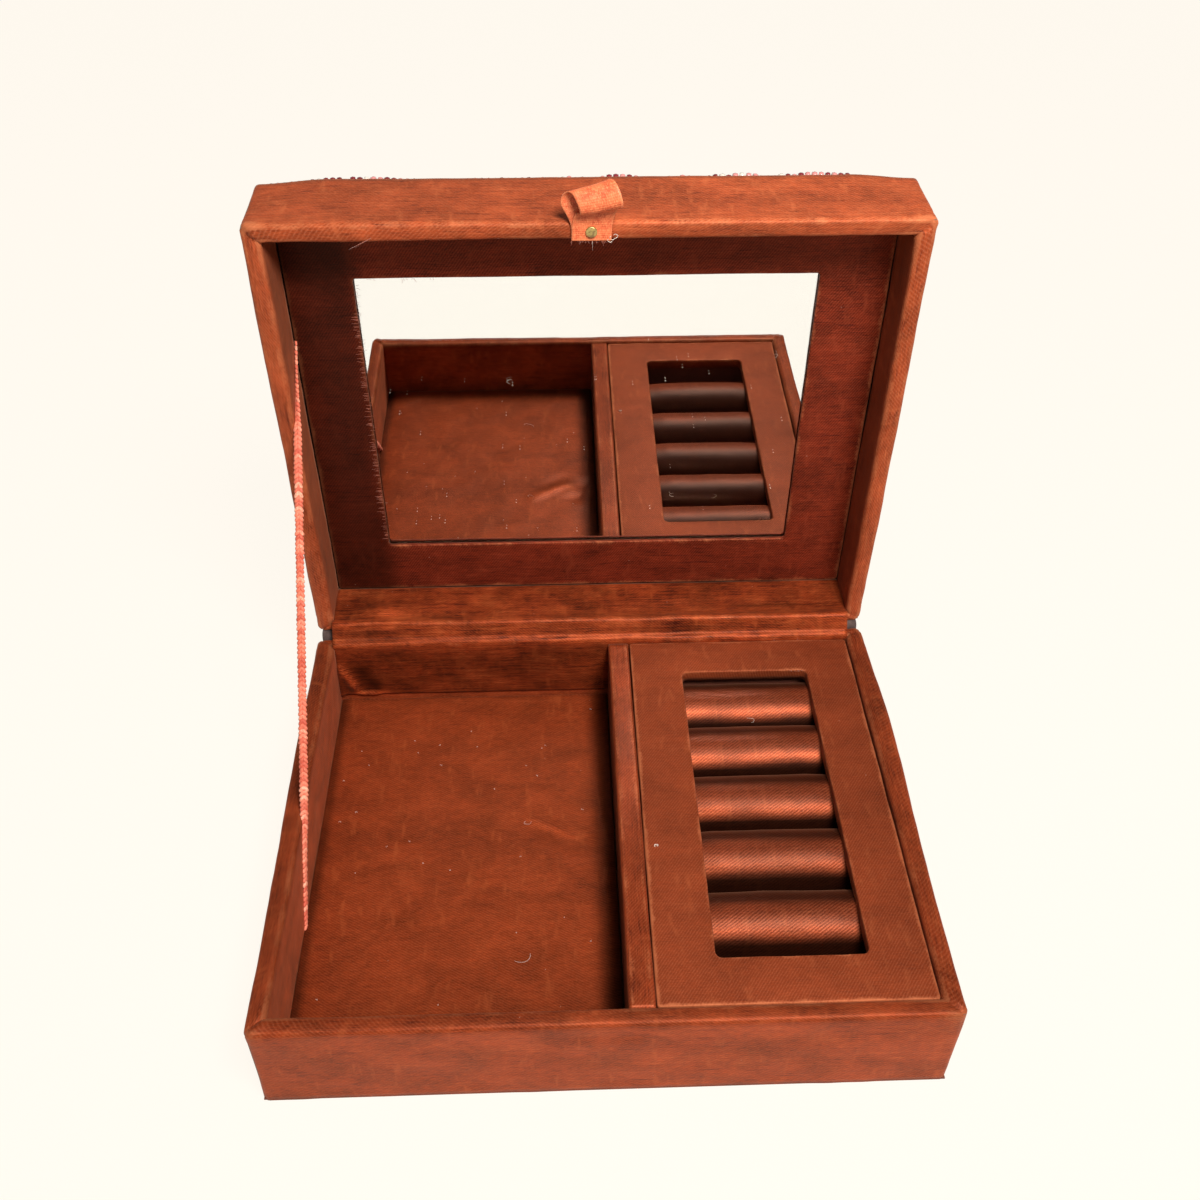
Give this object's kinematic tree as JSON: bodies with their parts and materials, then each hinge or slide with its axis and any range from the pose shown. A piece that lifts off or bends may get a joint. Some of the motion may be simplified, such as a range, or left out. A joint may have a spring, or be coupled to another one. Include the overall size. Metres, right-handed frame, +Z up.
{
  "type": "jewelry box",
  "caption": "Small cloth-covered jewelry box with a cloth-hinged lid held open by a braid stay, an inside mirror, a plain tray, a ring tray and beadwork on the lid",
  "frame": {"origin": "middle of the base's underside, on the surface that the box stands on", "axes": "X to the right seen from the open front, Y from the front to the hinge at the back, Z up; the lid is open as in the picture"},
  "size_m": [0.166, 0.1584, 0.1711],
  "materials": {
    "satin": "reddish-brown satin over card, with a fine diagonal weave",
    "roll_satin": "reddish-brown satin wound over wadding rolls",
    "card_board": "grey-brown chipboard, hidden by the cloth",
    "paper": "brown lining paper on the underside",
    "wadding": "white wadding, hidden",
    "hinge_backing": "grey-brown backing cloth at the hinge",
    "coral_braid": "narrow coral braid with a pale chain stitch",
    "coral_ribbon": "coral grosgrain ribbon",
    "nail_brass": "aged olive brass",
    "mirror_glass": "silvered glass with a little dust",
    "beads_maroon": "glossy maroon seed beads",
    "beads_white": "glossy white seed beads",
    "beads_pink": "glossy pink seed beads"
  },
  "bodies": {
    "base": {"base_underside_paper": "paper", "base_bottom_board": "card_board", "base_front_wall_board": "card_board", "base_back_wall_board": "card_board", "base_left_wall_board": "card_board", "base_right_wall_board": "card_board", "base_satin_wrap": "satin", "floor_wadding": "wadding", "floor_card": "card_board", "floor_satin": "satin", "divider_board": "card_board", "divider_satin": "satin", "ring_panel_card": "card_board", "ring_panel_satin": "satin", "ring_spacer_left": "card_board", "ring_spacer_right": "card_board", "ring_spacer_front": "card_board", "ring_spacer_back": "card_board", "ring_bed_card": "card_board", "ring_roll_1": "roll_satin", "ring_roll_2": "roll_satin", "ring_roll_3": "roll_satin", "ring_roll_4": "roll_satin", "ring_roll_5": "roll_satin", "ring_roll_wadding": "wadding", "hinge_cloth_inner": "satin", "hinge_cloth_outer": "hinge_backing", "stay_tape": "coral_braid"},
    "lid": {"lid_top_board": "card_board", "lid_top_wadding": "wadding", "lid_top_satin": "satin", "lid_front_wall_board": "card_board", "lid_back_wall_board": "card_board", "lid_left_wall_board": "card_board", "lid_right_wall_board": "card_board", "lid_satin_wrap": "satin", "mirror_backing_card": "card_board", "mirror_glass": "mirror_glass", "mirror_surround_card": "card_board", "mirror_mat_card": "card_board", "mirror_mat_satin": "satin", "pull_tab_ribbon": "coral_ribbon", "pull_tab_nail": "nail_brass", "bead_border_outer": "beads_maroon", "bead_border_inner": "beads_white", "bead_flower_petals": "beads_pink", "bead_flower_hearts": "beads_white", "bead_stems": "beads_maroon", "bead_leaves": "beads_pink"}
  },
  "joints": [
    {"name": "lid_hinge", "type": "hinge", "parent": "base", "child": "lid", "pos_m": [0, 0.067, 0.03015], "axis": [1, 0, 0], "range_deg": [0, 88.5], "deforming": ["hinge_cloth_inner", "hinge_cloth_outer", "stay_tape"]}
  ]
}
